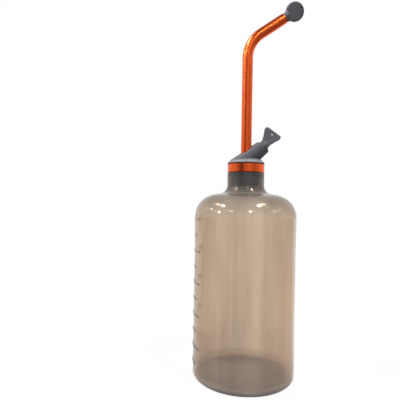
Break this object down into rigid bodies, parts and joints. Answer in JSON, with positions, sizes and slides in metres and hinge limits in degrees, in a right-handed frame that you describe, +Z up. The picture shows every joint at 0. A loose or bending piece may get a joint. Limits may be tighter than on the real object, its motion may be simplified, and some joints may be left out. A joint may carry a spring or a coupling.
{
  "type": "fuel bottle",
  "caption": "Squeeze bottle for fuel with a smoked translucent body, a grey hooded screw cap, a bent orange metal spout and rubber stoppers on the spout and the slanted filler.",
  "frame": {"origin": "centre of the base on the bottle's axis, level with the foot ring that it stands on", "axes": "+Z up along the bottle's axis and its longest extent, +X the side that the spout and the filler lean to, -X the side with the volume scale, and -Y the front as pictured"},
  "size_m": [0.081, 0.0766, 0.2849],
  "materials": {
    "smoked_plastic": "smoked translucent blown plastic, glossy",
    "grey_plastic": "moulded, satin",
    "orange_metal": "orange anodised, bright drawn",
    "grey_rubber": "moulded, soft matt",
    "black_rubber": "moulded, matt"
  },
  "bodies": {
    "bottle": {"bottle": "smoked_plastic"},
    "neck_gasket": {"neck_gasket": "black_rubber"},
    "cap": {"cap": "grey_plastic", "collar_ring": "orange_metal", "spout_seal": "black_rubber"},
    "spout": {"spout_tube": "orange_metal"},
    "spout_stopper": {"spout_stopper": "grey_rubber"},
    "filler_stopper": {"filler_stopper": "grey_rubber"}
  },
  "joints": [
    {"name": "cap_lift", "type": "slide", "parent": "bottle", "child": "neck_gasket", "axis": [0, 0, 1], "range_m": [0, 0.03]},
    {"name": "cap_turn", "type": "hinge", "parent": "neck_gasket", "child": "cap", "pos_m": [0, 0, 0.16], "axis": [0, 0, 1], "range_deg": [0, 540]},
    {"name": "spout_swivel", "type": "hinge", "parent": "cap", "child": "spout", "pos_m": [0, 0, 0.16], "axis": [0, 0, 1], "continuous": true},
    {"name": "spout_stopper_pull", "type": "slide", "parent": "spout", "child": "spout_stopper", "axis": [0.829, 0, 0.5592], "range_m": [0, 0.016]},
    {"name": "filler_stopper_pull", "type": "slide", "parent": "cap", "child": "filler_stopper", "axis": [0.6293, 0, 0.7771], "range_m": [0, 0.012]}
  ]
}
